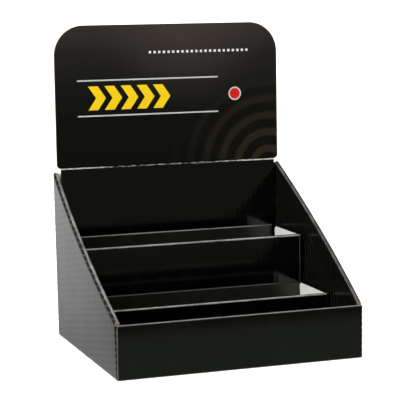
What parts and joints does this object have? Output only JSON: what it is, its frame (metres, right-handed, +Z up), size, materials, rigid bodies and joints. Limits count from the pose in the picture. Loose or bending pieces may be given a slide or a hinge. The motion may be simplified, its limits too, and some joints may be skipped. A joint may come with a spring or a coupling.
{
  "type": "cardboard display stand",
  "caption": "Stepped counter display stand of black printed corrugated board: sloping-sided tray, two step inserts and a tall round-cornered header.",
  "frame": {"origin": "centre of the tray's base at the surface it stands on", "axes": "+Z up, the low front faces -Y, +X to the right seen from the front"},
  "size_m": [0.2698, 0.227, 0.3374],
  "materials": {
    "tray_board": "gloss",
    "step_board": "gloss",
    "header_board": "gloss"
  },
  "bodies": {
    "root": {"tray": "tray_board", "header_card": "header_board", "step_rear": "step_board", "step_front": "step_board"}
  },
  "joints": []
}
